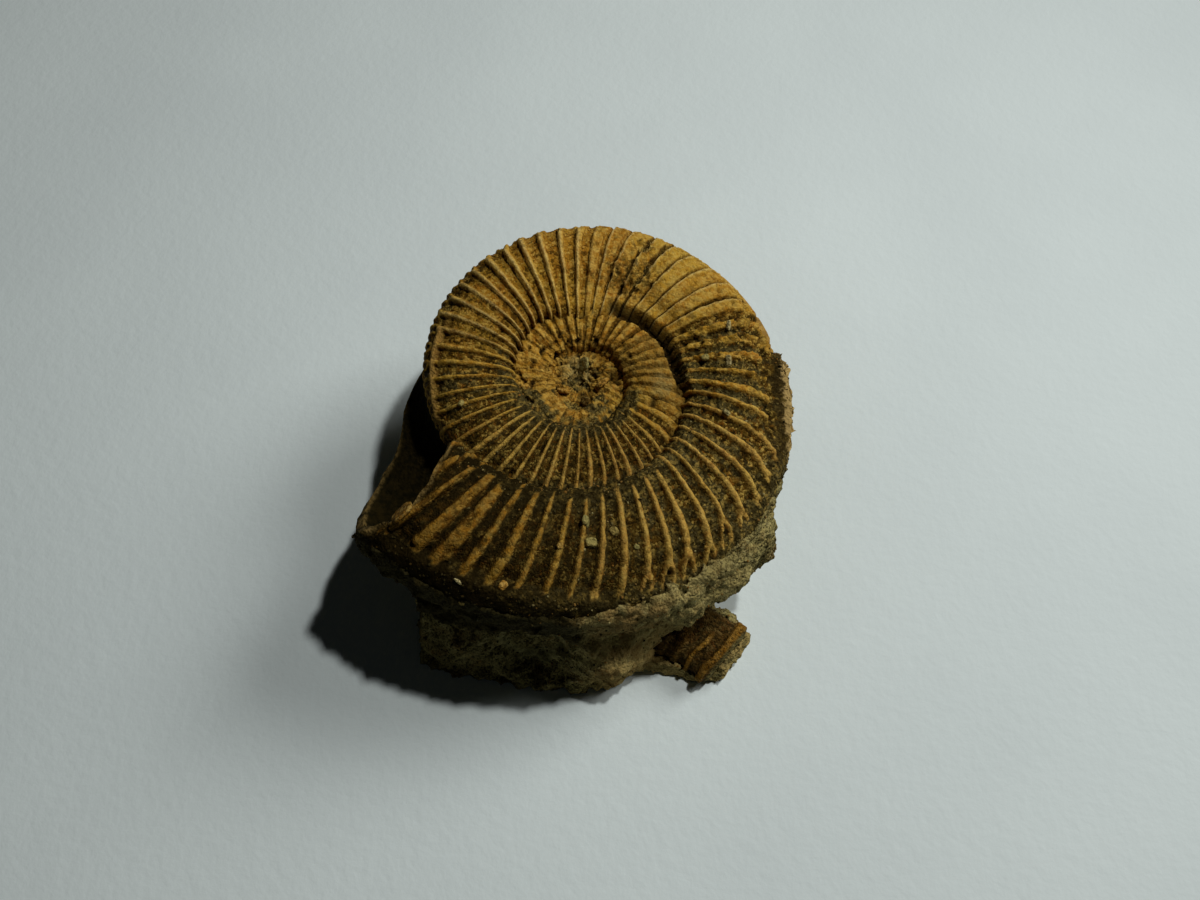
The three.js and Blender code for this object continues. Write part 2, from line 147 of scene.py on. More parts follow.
class Field:
    """What one output of a node gives, with operators and methods as further nodes."""

    def __init__(self, tree, socket):
        self.tree = tree
        self.socket = socket

    def math(self, operation, *values):
        return add_node(self.tree, "ShaderNodeMath", dict(enumerate(values)), operation=operation)[0]

    def __add__(self, other):
        return self.math("ADD", self, other)

    def __sub__(self, other):
        return self.math("SUBTRACT", self, other)

    def __rsub__(self, other):
        return self.math("SUBTRACT", other, self)

    def __mul__(self, other):
        return self.math("MULTIPLY", self, other)

    def __truediv__(self, other):
        return self.math("DIVIDE", self, other)

    def __pow__(self, other):
        return self.math("POWER", self, other)

    __radd__ = __add__
    __rmul__ = __mul__

    def at_least(self, other):
        return self.math("MAXIMUM", self, other)

    def at_most(self, other):
        return self.math("MINIMUM", self, other)

    def size(self):
        return self.math("ABSOLUTE", self)

    def cosine(self):
        return self.math("COSINE", self.math("RADIANS", self))

    def sine(self):
        return self.math("SINE", self.math("RADIANS", self))

    def signed_power(self, power):
        return self.math("SIGN", self) * self.size() ** power

    def ramp(self, start, end):
        """Goes smoothly from 0 to 1 as the value goes from start to end."""
        inputs = {"Value": self, "From Min": start, "From Max": end}
        return add_node(self.tree, "ShaderNodeMapRange", inputs, interpolation_type="SMOOTHSTEP")["Result"]

    def within(self, start, full, fading, end):
        """1 between full and fading, and smoothly down to 0 at start and end."""
        return self.ramp(start, full) * self.ramp(end, fading)

    def peak(self, reach):
        """1 where the value is 0, and evenly down to 0 at this much above and below."""
        return 1 - (self.size() / reach).at_most(1)

    def along(self, knots, clamped=True):
        """The value that a row of (place, value) knots gives at this place, straight between them."""
        place = self.at_least(knots[0][0]).at_most(knots[-1][0]) if clamped else self
        slopes = [(b[1] - a[1]) / (b[0] - a[0]) for a, b in zip(knots, knots[1:])]
        result = place * slopes[0] + (knots[0][1] - slopes[0] * knots[0][0])
        for knot, before, after in zip(knots[1:], slopes, slopes[1:]):
            bend = after - before
            result = result + (place.at_least(knot[0]) - knot[0]) * bend
        return result

    def vector_math(self, operation, *others):
        inputs = dict(enumerate((self, *others)))
        result = "Value" if operation in ("LENGTH", "DOT_PRODUCT") else "Vector"
        return add_node(self.tree, "ShaderNodeVectorMath", inputs, operation=operation)[result]

    def scaled(self, length):
        inputs = {0: self, "Scale": length}
        return add_node(self.tree, "ShaderNodeVectorMath", inputs, operation="SCALE")["Vector"]

    def parts(self):
        node = add_node(self.tree, "ShaderNodeSeparateXYZ", {"Vector": self})
        return node["X"], node["Y"], node["Z"]

    def noise(self, scale, detail=2, seed=0):
        """Smooth noise from about -1 to 1 at this place, with lumps of about 1 / scale."""
        shifted = self.vector_math("ADD", (seed * 7.3, seed * 3.1, seed))
        inputs = {"Vector": shifted, "Scale": scale, "Detail": detail, "Roughness": 0.55}
        return add_node(self.tree, "ShaderNodeTexNoise", inputs)[0] * 2 - 1

    def cells(self, scale):
        """Cells of about 1 / scale, with the distance from each one's middle, and its colour."""
        return add_node(self.tree, "ShaderNodeTexVoronoi", {"Vector": self, "Scale": scale})


def connect(node, inputs):
    """Links a node's inputs to Fields, or gives them plain values, by name or number."""
    for key, value in inputs.items():
        socket = node.inputs[key] if isinstance(key, int) else next(
            s for s in node.inputs if s.name == key and s.enabled)
        for item in value if isinstance(value, list) else [value]:
            if isinstance(item, Field):
                item.tree.links.new(item.socket, socket)
            else:
                socket.default_value = (*item, 1) if socket.type == "RGBA" else item


def add_node(tree, kind, inputs=None, **settings):
    """Adds a node with its settings and inputs, and gives its outputs by name and by number."""
    node = tree.nodes.new(kind)
    for name, value in settings.items():
        setattr(node, name, value)
    connect(node, inputs or {})
    named = {socket.name: Field(tree, socket) for socket in node.outputs if socket.enabled}
    return {**named, **{index: Field(tree, socket) for index, socket in enumerate(node.outputs)}}


def vector(tree, x, y, z):
    return add_node(tree, "ShaderNodeCombineXYZ", {"X": x, "Y": y, "Z": z})[0]


def chance(tree, low, high, seed, kind="FLOAT", **more):
    """A random value between two others: one a point, or one for each value of ID."""
    inputs = {"Min": low, "Max": high, "Seed": seed, **more}
    return add_node(tree, "FunctionNodeRandomValue", inputs, data_type=kind)["Value"]


def store(mesh, domain="POINT", **values):
    """Keeps values at the points or instances of a mesh, under these names."""
    for name, value in values.items():
        inputs = {"Geometry": mesh, "Name": name, "Value": value}
        mesh = add_node(mesh.tree, "GeometryNodeStoreNamedAttribute", inputs,
                        data_type="FLOAT", domain=domain)["Geometry"]
    return mesh


def kept(tree, *names, kind="FLOAT"):
    """What a mesh keeps under these names, for a Geometry Nodes tree."""
    return [add_node(tree, "GeometryNodeInputNamedAttribute", {"Name": name}, data_type=kind)["Attribute"]
            for name in names]


def here(tree, what="Position"):
    """The position or the normal of each point."""
    return add_node(tree, "GeometryNodeInput" + what)[0]


def moved(mesh, places):
    return add_node(mesh.tree, "GeometryNodeSetPosition", {"Geometry": mesh, "Position": places})[0]


def grid(tree, columns, rows):
    """A sheet of points to roll up, and how far along and around it each is, from 0 to 1."""
    inputs = {"Size X": 1, "Size Y": 1, "Vertices X": columns, "Vertices Y": rows}
    mesh = add_node(tree, "GeometryNodeMeshGrid", inputs)["Mesh"]
    x, y, _ = here(tree).parts()
    return mesh, x + 0.5, y + 0.5


def closed_ends(steps, last):
    """1 along a tube, a little less at the last rings but one, and 0 at both ends."""
    start, end = [1 - 0.03 * at.ramp(1.6, 1.4) - 0.97 * at.ramp(0.6, 0.4) for at in (steps, last - steps)]
    return start * end


def set_down(mesh, centre, lean=Euler()):
    """A tube, welded along its seams, from its own millimetres to its place in the frame."""
    mesh = add_node(mesh.tree, "GeometryNodeMergeByDistance", {"Geometry": mesh, "Distance": WELD})[0]
    inputs = {"Geometry": mesh, "Translation": (AXIS_PLACE + centre) * MM, "Rotation": lean,
              "Scale": (MM, MM, MM)}
    return add_node(mesh.tree, "GeometryNodeTransform", inputs)[0]


def new_tree(name, kind, inputs, outputs):
    """An empty tree with these inputs and outputs, each with its kind of socket."""
    tree = bpy.data.node_groups.new(name, kind)
    for side, sockets in (("INPUT", inputs), ("OUTPUT", outputs)):
        for label, socket in sockets.items():
            tree.interface.new_socket(label, in_out=side, socket_type="NodeSocket" + socket)
    return tree, add_node(tree, "NodeGroupInput")


def mesh_tree(name, numbers, *objects):
    """A Geometry Nodes tree with named number and object inputs, a material and a start mesh."""
    inputs = {"Mesh": "Geometry", **dict.fromkeys(numbers, "Float"), **dict.fromkeys(objects, "Object")}
    return new_tree(name, "GeometryNodeTree", {**inputs, "Material": "Material"}, {"Mesh": "Geometry"})


def finish_tree(mesh, material, smooth=True):
    """Closes a tree with real meshes in place of instances, and its material."""
    tree = mesh.tree
    mesh = add_node(tree, "GeometryNodeRealizeInstances", {0: mesh})[0]
    mesh = add_node(tree, "GeometryNodeSetShadeSmooth", {"Geometry": mesh, "Shade Smooth": smooth})[0]
    mesh = add_node(tree, "GeometryNodeSetMaterial", {"Geometry": mesh, "Material": material})[0]
    add_node(tree, "NodeGroupOutput", {0: mesh})
    return tree


def add_object(name, data):
    thing = bpy.data.objects.new(name, data)
    bpy.context.scene.collection.objects.link(thing)
    return thing


def applied(thing):
    """The mesh that an object's modifiers make; the object itself goes."""
    evaluated = thing.evaluated_get(bpy.context.evaluated_depsgraph_get())
    mesh = bpy.data.meshes.new_from_object(evaluated)
    bpy.data.objects.remove(thing)
    return mesh


def grow(name, tree, values, material, source=None):
    """A plain mesh object of what a tree makes with these values."""
    values = {**values, "Material": material}
    start = add_object(name + "_start", source or bpy.data.meshes.new(name + "_start"))
    modifier = start.modifiers.new("Growth", "NODES")
    modifier.node_group = tree
    for item in tree.interface.items_tree:
        if item.in_out == "INPUT" and item.name in values:
            modifier[item.identifier] = values[item.name]
    piece = add_object(name, applied(start))
    piece.data.name = name
    return piece


def shell_tree():
    tree, size = mesh_tree("Coiled shell", SHELL_SIZES)

    def edge_radius(angle):
        outer = angle.at_least(0) * size["Outer Growth"].math("LOGARITHM", size["Outer Growth"], e)
        inner = angle.at_most(0) * size["Inner Growth"].math("LOGARITHM", size["Inner Growth"], e)
        turns = (outer + inner) / 360
        return turns.math("EXPONENT", turns) * size["Reference Radius"]

    lengths = []
    for start, end, columns, rows, shares in COIL_LENGTHS:
        mesh, along, around = grid(tree, columns, rows)
        lengths.append(store(
            mesh, angle=along * (end - start) + start, row=around.along(shares), offset=0,
            squeeze=closed_ends(along * (columns - 1), columns - 1), rim=0))

    even, outside, edge, inside = CHAMBER_COLUMNS
    last = sum(CHAMBER_COLUMNS)
    mesh, along, around = grid(tree, last + 1, CHAMBER_AROUND)
    steps = along * last
    row = around.along(CHAMBER_ROWS)
    jag = vector(tree, row.cosine() * 3, row.sine() * 3, 0).noise(1, 3)
    broken = row.along(CHAMBER_BREAK) + jag * 1.4
    start = (steps / even).at_most(1)
    out = ((steps - even) / outside).at_least(0).at_most(1)
    over = ((steps - even - outside) / edge).at_least(0).at_most(1)
    back = ((steps - even - outside - edge) / inside).at_least(0)
    angle = start * (CHAMBER_EVEN - CHAMBER_START) + CHAMBER_START + out * (broken - CHAMBER_EVEN)
    angle = angle + back * (size["Chamber Floor"] - broken)
    lengths.append(store(
        mesh, angle=angle, row=row, offset=over * size["Shell Wall"] * -1,
        squeeze=closed_ends(steps, last), rim=(broken - angle).ramp(1.6, 0.4) * back.ramp(0.12, 0.0)))

    mesh = add_node(tree, "GeometryNodeJoinGeometry", {0: lengths})[0]
    angle, row, offset, squeeze = kept(tree, "angle", "row", "offset", "squeeze")
    outer = edge_radius(angle)
    inner = edge_radius(angle - 360) * size["Whorl Grip"] - size["Whorl Sink"]
    half = (outer - inner) / 2
    middle = (outer + inner) / 2
    swell = angle.within(-300, -250, -200, -150) * 0.28
    thick = half * size["Thickness"] * (swell + 1)
    at_back = angle.within(50, 95, 172, 190)
    flat = row.ramp(88, 116) * 0.42 * (1 - at_back)
    flat = flat + row.within(0, 10, 64, 92) * angle.ramp(-10, -60) * 0.4
    across = row.cosine().signed_power(size["Section Power"])
    upwards = row.sine().signed_power(size["Section Power"] * (1 - flat))

    def place(rise, drop):
        radius = middle + (half + rise) * across * squeeze
        height = (thick + rise) * upwards * squeeze - drop
        return vector(tree, angle.cosine() * radius * -1, angle.sine() * radius, height)

    smooth_place = place(0, 0)
    x, y, _ = smooth_place.parts()
    flank = row.size()

    def spot(at_x, at_y, reach):
        """1 near a place on the disc, seen from above, and 0 away from it."""
        far = ((x - at_x) ** 2 + (y - at_y) ** 2) ** 0.5
        return far.ramp(reach, reach * 0.4)

    lumps = smooth_place.noise(0.45, 3, 1)
    grain = smooth_place.noise(1.3, 3, 2)
    patch = smooth_place.noise(0.16, 2, 3)

    # The ribs, which fork on the outer flank, and their wear
    chipped = spot(6.4, 15.5, 5).at_least(spot(8.8, 20.6, 2.4)) * row.ramp(0, 20) * angle.ramp(0, 10)
    lean = angle.along(RIB_LEAN)
    swing = row.cosine().at_least(0) ** 2 * 1.5
    number = (angle - lean * 0.5 * row.cosine() - swing).along(RIB_PLACES, clamped=False)
    number = number + lumps * (chipped * 0.45 + 0.045)
    rib = number.math("ROUND", number)

    from_rib = number - rib + chance(tree, -0.06, 0.06, 1, ID=rib)
    fork_row = angle.along(FORK_ROW) + chance(tree, -12, 8, 2, ID=rib)
    forked = (flank - fork_row).ramp(0, -24) * angle.ramp(-40, -15)
    from_branch = (from_rib.size() - forked * 0.25).size()
    breadth = angle.along(RIB_BREADTH) * (1 - forked * 0.42) * chance(tree, 0.82, 1.18, 3, ID=rib)
    soft = angle.along(RIB_SOFTNESS)
    crest = 1 - from_branch.ramp(breadth - soft, breadth + soft)
    # A narrow groove along the low side of each crest, which the colour paints with shade
    crease = (from_rib + breadth + soft * 0.6).peak(0.07) * (1 - forked)

    worn = angle.within(6, 14, 34, 44) * flank.within(58, 70, 108, 125)
    centre = spot(0.3, 0.3, 7.5)
    faded = angle.within(-230, -208, -172, -150) + centre * 0.6
    faded = (faded + angle.within(-450, -405, -345, -325) * 0.4).at_most(1)
    depth = half * size["Rib Relief"]
    relief = depth * (1 - flank.ramp(112, 152) * 0.3) * (1 - flank.ramp(42, 24) * 0.62)
    relief = relief * (1 - worn * 0.6) * (1 - centre * 0.92)
    relief = relief * chance(tree, 0.75, 1.15, 4, ID=rib) * angle.along(RIB_HEIGHT)
    crumbs = smooth_place.cells(1.05)["Distance"]
    rough = 1 + angle.ramp(-110, -200) * 1.8 + angle.ramp(150, 170) + angle.ramp(40, 70) * 0.4
    damage = smooth_place.noise(0.6, 3, 6).ramp(-0.05, 0.32) * angle.along(RIB_DAMAGE)
    # A raised lip along one side of each rib at the back, painted pale as a highlight, with painted
    # highlight stripes on the crests at the top left and on the plain crests
    lip = (from_rib + breadth - 0.1).peak(0.06) * angle.ramp(88, 100)
    highlight_stripe = (from_rib + 0.03).peak(0.13) * angle.within(5, 20, 86, 96)
    lip = (lip * angle.ramp(158, 146)).at_least(highlight_stripe * 0.7 * (1 - forked))
    plain = angle.within(185, 205, 255, 290)
    plain = plain.at_least(angle.within(-150, -130, -50, -20))
    lip = lip.at_least(crest * plain * 0.2)
    shell_rise = (crest - 1 - crease * 0.5) * relief + lumps * 0.14 + grain * 0.11 * rough
    shell_rise = shell_rise - crest * damage * relief * 0.7 + lip * 0.14 + (0.4 - crumbs) * 0.1 * rough
    chipped = chipped.at_least(angle.within(152, 162, 176, 186) * 0.6)
    boulders = smooth_place.cells(0.42)["Distance"]
    shell_rise = shell_rise + centre * (lumps * 0.7 + grain * 0.5 + (0.5 - boulders) * 1.3)
    shell_rise = shell_rise + chipped * (lumps * 0.9 + grain * 0.8 - crumbs * 0.7)
    holes = spot(0.6, -2.2, 1.3).at_least(spot(4.8, 1, 1.3)).at_least(spot(10, -3.8, 0.9))
    holes = holes * (grain * 1.5 + 0.8).at_least(0).at_most(1)

    # The mud in the grooves and along the seams
    near_seam = flank.ramp(112, 142) * angle.along(SEAM_MUD)
    under_seam = angle.ramp(-40, -80) * flank.ramp(62, 36) * (angle + 360).along(SEAM_MUD)
    from_crust = (middle + half * across) / outer - angle.along(CRUST_EDGE) + lumps * 0.012
    near_crust = (row.ramp(10, -10)).at_least(from_crust.ramp(-0.035, 0.02)) * angle.ramp(160, 172)
    level = angle.along(MUD_DEPTH) + lumps * 0.55 + patch * 0.4 + near_seam + under_seam
    radius = (x ** 2 + y ** 2) ** 0.5 + lumps * 1.2
    moat = radius.within(5.4, 6.8, 8.2, 9.6) * y.ramp(-0.5, -3) * angle.ramp(0, -20)
    level = level + near_crust * 2.2 + spot(2.6, -4, 2.6) * 1.7 + moat * 1.9
    mud_rise = (level.at_most(1.15 + near_crust * 0.6) - 1) * depth + grain * 0.25 + (0.4 - crumbs) * 0.5
    scratches = vector(tree, angle * 0.75, row * 0.03, 0).noise(1, 3, 9)
    shell_rise = shell_rise + faded * scratches * 0.3
    rise = shell_rise.at_least(mud_rise)
    mud = (mud_rise - shell_rise).ramp(-0.06, 0.08)

    # Pits and crevices, which the colour paints dark with shade, the raised cord and the open seam
    pitted = angle.within(148, 158, 190, 215) + angle.ramp(-200, -260) * 0.8
    pitted = pitted + angle.within(132, 142, 160, 170) * (row - 58).size().ramp(18, 8)
    pitted = (pitted + angle.ramp(-130, -160) * 0.5 + chipped * 1.1).at_most(1.4)
    crevice = angle.within(104, 116, 148, 158) + angle.ramp(-165, -190) * 0.65
    crevice = crease * 0.8 + (1 - crest) * crevice
    crevice = (crevice - damage * 0.25).at_least(0).at_most(1) * angle.ramp(175, 160) * (1 - worn)
    crevice = crevice * (1 - faded * 0.25) * (1 - chipped * 0.5) * angle.ramp(-345, -300)
    crevice = crevice.at_least(faded * scratches.ramp(-0.15, -0.45) * 0.65)
    pit = smooth_place.noise(0.75, 4, 4).ramp(0.3 - pitted * 0.17, 0.42) * (0.5 + pitted * 0.6)
    cord = (row - angle.along(CORD_ROW)).size().ramp(6.5, 3.5) * angle.within(-26, -20, 16, 24)
    cord_right = (row - 16).size().ramp(12, 8) * angle.within(126, 140, 164, 172)
    cord = cord.at_least(cord_right)
    rise = rise.at_least(cord * 0.25 - 0.12 + grain * 0.06 - (1 - cord) * 9)
    recess = angle.within(168, 175, 192, 204) * (row - 44).size().ramp(20, 9)
    seam_fill = row.ramp(128, 160) * at_back * 2.6
    rise = rise - pit * 0.65 - recess * 1.1 + seam_fill - holes * 0.9
    inside = offset.ramp(-0.2, -0.8)
    rise = rise * (1 - inside * 0.75) + offset
    turned = angle + angle.ramp(-60, -70) * 360
    from_gap = middle + (half + rise) * across + lumps * 0.3 + grain * 0.2 - turned.along(GAP_RADIUS)
    gap = turned.along(SEAM_GAP) * from_gap.size().ramp(0.95, 0.5) * row.ramp(0, 10)

    # Tones that only the colour shows: dirt, and painted shade in creases and towards the front
    dirt = angle.along(DIRT_AND_SHADE) * (1 - crest + damage * crest * 0.7) + crease * 0.6 + centre * 0.2
    notches = row.within(8, 20, 38, 58) * angle.within(-12, 2, 40, 62) * (1 - crest)
    # Darker still towards the front edge, in the recess, on chipped spots and in notches near the rim: dirt
    # mixed with painted shade
    dirt = (dirt + angle.ramp(262, 320) * 0.3 + recess + chipped * 0.5 + notches * 0.8).at_most(1.2)
    # Painted shade: the shell darker towards the front, and more near the outer edge there
    dim = angle.along(PAINTED_SHADE_BY_ANGLE) + angle.ramp(262, 300) * row.ramp(60, 0) * 0.3
    mesh = store(
        mesh, crest=crest * (1 - (worn * 0.5).at_least(faded * 0.35)), mud=mud * (1 - cord),
        pit=pit.at_least(holes), inside=inside, gap=gap, cord=cord, faded=faded,
        pale=spot(-0.5, 1.6, 3).at_least(spot(11.3, -1.2, 2.2) * 0.7), lip=lip,
        crevice=crevice * (1 - mud), dim=dim, dirt=dirt * (1 - cord), rise=rise)
    rise, gap = kept(tree, "rise", "gap")
    mesh = set_down(moved(mesh, place(rise, gap * GAP_DEPTH)), DISC_CENTRE, DISC_LEAN)
    mesh = add_node(tree, "GeometryNodeFlipFaces", {"Mesh": mesh})[0]
    return finish_tree(mesh, size["Material"])


def mix(tree, share, first, second):
    """A colour between two others, by a share from 0 to 1."""
    inputs = {"Factor": share, "A": first, "B": second}
    return add_node(tree, "ShaderNodeMix", inputs, data_type="RGBA")["Result"]


def painted(tree, colour, *coats):
    """A colour with coats of others over it, each with its share."""
    for share, coat in coats:
        colour = mix(tree, share, colour, coat)
    return colour


def mudstone_group():
    """Olive mudstone: fine sandy grains, paler and darker ones, and iron stains."""
    tree, inputs = new_tree(
        "Mudstone", "ShaderNodeTree", {"Place": "Vector", "Stain": "Float"},
        {"Colour": "Color", "Height": "Float", "Roughness": "Float"})
    place = inputs["Place"]
    coarse = place.cells(2.2)
    fine = place.noise(3.2, 3, 3)
    shade, _, _ = coarse["Color"].parts()
    dust, _, _ = place.cells(4.6)["Color"].parts()
    ground = place.noise(0.22, 4, 1).ramp(-0.5, 0.5)
    colour = painted(
        tree, mix(tree, ground, (0.11, 0.09, 0.026), (0.44, 0.36, 0.13)),
        (place.noise(0.3, 3, 2).ramp(-0.1, 0.5) * inputs["Stain"], (0.17, 0.075, 0.012)),
        (shade.ramp(0.65, 1) * 0.55, (0.34, 0.29, 0.13)),
        (shade.ramp(0.4, 0) * 0.75, (0.014, 0.011, 0.004)),
        (fine.ramp(0.1, 0.5) * 0.35, (0.34, 0.29, 0.1)),
        (dust.ramp(0.7, 0.95) * 0.5, (0.38, 0.31, 0.11)),
        (dust.ramp(0.35, 0.1) * 0.75, (0.014, 0.011, 0.003)))
    add_node(tree, "NodeGroupOutput", {
        "Colour": colour, "Height": coarse["Distance"] * -0.7 + fine * 0.4 + dust * 0.35,
        "Roughness": 0.85 + fine * 0.08})
    return tree


def mottle_group():
    """Grain of old calcite: small cells, each a little paler, darker or rustier than the next."""
    tree, inputs = new_tree(
        "Mottle", "ShaderNodeTree", {"Place": "Vector", "Fineness": "Float"},
        dict.fromkeys(("Pale", "Dark", "Rust", "Height"), "Float"))
    place = inputs["Place"]
    wander = add_node(tree, "ShaderNodeTexNoise", {"Vector": place, "Scale": 1.4, "Detail": 3})["Color"]
    place = place.vector_math("ADD", wander.scaled(0.6))
    fine = place.cells(inputs["Fineness"])
    fine_shade, rust_shade, _ = fine["Color"].parts()
    broad_shade, _, _ = place.cells(1.25)["Color"].parts()
    level = fine_shade * 0.55 + broad_shade * 0.25 + place.noise(0.9, 5, 31) * 0.45 + 0.1
    add_node(tree, "NodeGroupOutput", {
        "Pale": level.ramp(0.55, 0.8), "Dark": level.ramp(0.45, 0.22),
        "Rust": (rust_shade + place.noise(0.5, 3, 32) * 0.8).ramp(0.6, 1),
        "Height": level - fine["Distance"] * 0.8})
    return tree


def use_group(tree, group, **inputs):
    return add_node(tree, "ShaderNodeGroup", inputs, node_tree=group)


def marks(tree, *names):
    """What a mesh keeps under these names, for a material."""
    return [add_node(tree, "ShaderNodeAttribute", attribute_name=name)["Fac"] for name in names]


def new_material(name, shine=0.02):
    """A material, its tree, and the place on the object in millimetres."""
    material = bpy.data.materials.new(name)
    material.use_nodes = True
    tree = material.node_tree
    tree.nodes["Principled BSDF"].inputs["Specular IOR Level"].default_value = shine
    return material, tree, add_node(tree, "ShaderNodeTexCoord")["Object"].scaled(1000)


def finish_material(material, colour, roughness, height, depth):
    """Joins the colour, the roughness and a bump of this depth in metres to the shader."""
    tree = material.node_tree
    bump = add_node(tree, "ShaderNodeBump", {"Height": height, "Strength": 1, "Distance": depth})[0]
    connect(tree.nodes["Principled BSDF"], {"Base Color": colour, "Roughness": roughness, "Normal": bump})
    return material


mudstone_look = mudstone_group()
mottle_look = mottle_group()


def shell_material():
    """Ochre calcite with pale rib crests, brown grooves, pits, and mudstone over it, and painted shade and
    highlights.
    """
    material, tree, place = new_material("Fossil shell")
    patches = place.noise(0.13, 3, 5)
    speckle = place.noise(1.1, 4, 6)
    mottle = use_group(tree, mottle_look, Place=place, Fineness=2.9)
    mudstone = use_group(tree, mudstone_look, Place=place, Stain=0.35)
    pale, dark = mottle["Pale"], mottle["Dark"]
    crest, lip, dirt, faded, crevice, pit, cord, patch, mud, angle, dim, gap, inside, rim = marks(
        tree, "crest", "lip", "dirt", "faded", "crevice", "pit", "cord", "pale", "mud", "angle", "dim",
        "gap", "inside", "rim")
    grit = dirt * 0.35 + 0.65
    grime_and_shade = (dirt * 1.15 + speckle * 0.6 - pale * 0.35).ramp(0.25, 0.95)
    deep = mix(tree, place.noise(0.5, 3, 12).ramp(-0.3, 0.4), (0.035, 0.026, 0.005), (0.13, 0.065, 0.008))
    # The mud in the grooves: mudstone darkened toward near black, partly its own colour, partly painted
    # shade
    shaded_mud = mix(tree, 0.75, mudstone["Colour"], (0.035, 0.021, 0.003))
    x, y, _ = place.parts()
    x = x + speckle * 1.6
    # Painted shade in the recess near the right edge, stronger on mud
    hollow = x.ramp(24.5, 26) * y.ramp(-10, -2) * (mud * 0.8 + 0.2)
    pale_edge = x.ramp(28.5, 29.2) * y.ramp(-14, -6) * mud
    red = angle.ramp(280, 305) * patches.ramp(-0.5, 0.3) * (1 - mud)
    # Inside the broken chamber: near black, as painted shade
    shaded_lining = mix(tree, speckle.ramp(-0.4, 0.6), (0.007, 0.006, 0.002), (0.024, 0.016, 0.004))
    colour = painted(
        tree, mix(tree, patches.ramp(-0.35, 0.35), (0.37, 0.165, 0.013), (0.45, 0.255, 0.026)),
        (place.noise(0.75, 2, 9).ramp(0, 0.4) * 0.5, (0.5, 0.31, 0.05)),
        (place.noise(0.4, 3, 8).ramp(0.05, 0.5) * 0.6, (0.37, 0.125, 0.008)),
        ((1 - crest) * 0.35, (0.27, 0.13, 0.012)),
        (crest * speckle.ramp(-0.3, 0.5) * 0.6, (0.64, 0.44, 0.1)),
        # Painted shade on the flanks of the ribs, which leaves only their tops pale
        ((crest - 0.42).peak(0.42) * 0.55, (0.14, 0.055, 0.006)),
        # Painted highlight on the lips and stripes
        (lip * 0.8, (0.74, 0.57, 0.21)),
        # Dark brown in the grooves and creases: dirt with painted shade
        (grime_and_shade * 0.9, deep),
        (mottle["Rust"] * (0.5 - crest * 0.2), (0.28, 0.095, 0.008)),
        (pale * grit * (0.55 - crest * 0.1), (0.68, 0.46, 0.1)),
        (dark * grit * (0.95 - crest * 0.35), (0.02, 0.011, 0.002)),
        (faded * speckle.ramp(-0.5, 0.5) * 0.5, (0.45, 0.28, 0.06)),
        # Painted shade, near black, in the crevices
        (crevice * (0.85 + speckle * 0.4), (0.016, 0.009, 0.002)),
        # Painted shade, near black, in the pits and holes
        (pit * 0.9, (0.02, 0.011, 0.003)),
        (cord * 0.7, (0.5, 0.3, 0.08)),
        (patch * (speckle * 0.8 + 0.5).at_least(0).at_most(1), (0.45, 0.36, 0.13)),
        (mud, shaded_mud),
        (mud * (pale * 0.6), (0.42, 0.28, 0.06)),
        (mud * (dark * 0.6), (0.008, 0.006, 0.002)),
        # Painted shade in the recess at the right
        (hollow * 0.7, (0.026, 0.014, 0.003)),
        (red * 0.5, (0.27, 0.105, 0.009)),
        (pale_edge * 0.85, (0.5, 0.34, 0.12)),
        # Painted shade over shell and mud by growth angle, less on bare crests
        (dim * (1.05 - crest * (1 - mud) * 0.55 + speckle * 0.5), (0.014, 0.009, 0.002)),
        # Painted shade, near black, in the open seam
        (gap ** 0.35 * 0.95, (0.012, 0.008, 0.003)),
        (inside, shaded_lining),
        (rim * speckle.ramp(-0.4, 0.4), (0.2, 0.13, 0.04)))
    height = (place.noise(3.4, 3, 7) * 0.3 + mottle["Height"]) * (1 - mud) * ((1 - crest * 0.35) * grit)
    height = height + mudstone["Height"] * mud
    return finish_material(material, colour, 0.75 + (speckle * 0.1) + mud * 0.15, height, depth=0.00028)


shell = grow("shell", shell_tree(), SHELL_SIZES, shell_material())
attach(shell, "root")
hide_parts("ammonite")


# The second shell's fragment
# A short length of the whorl of another ammonite, dark brown, in the tongue of mudstone. It
# lies on its side and rolls down towards its inner edge. Two orange ribs show at its
# broken right end.
SECOND_CENTRE = Vector((4.6, -52.4, 3.6))
FRAGMENT_SIZES = {
    "Arc Radius": 24.1, "Half Width": 5.3, "Half Thickness": 3.4, "Roll": 18, "From": 79, "To": 46.2,
    "Section Power": 2 / 2.3, "Rib Step": 6.4, "Rib Relief": 0.7, "Underside": 1.2,
}
FRAGMENT_COLUMNS = 190
FRAGMENT_ROWS = 150
# Row of the section and the angle where each orange rib runs
BROAD_RIB = [(-60, 49.6), (-19, 49.3), (40, 48.2), (75, 47.7), (99, 48.5), (120, 49.6), (180, 49.5)]
THIN_RIB = [(60, 54.2), (89, 54.6), (103, 55.8), (118, 56.8), (180, 56.5)]


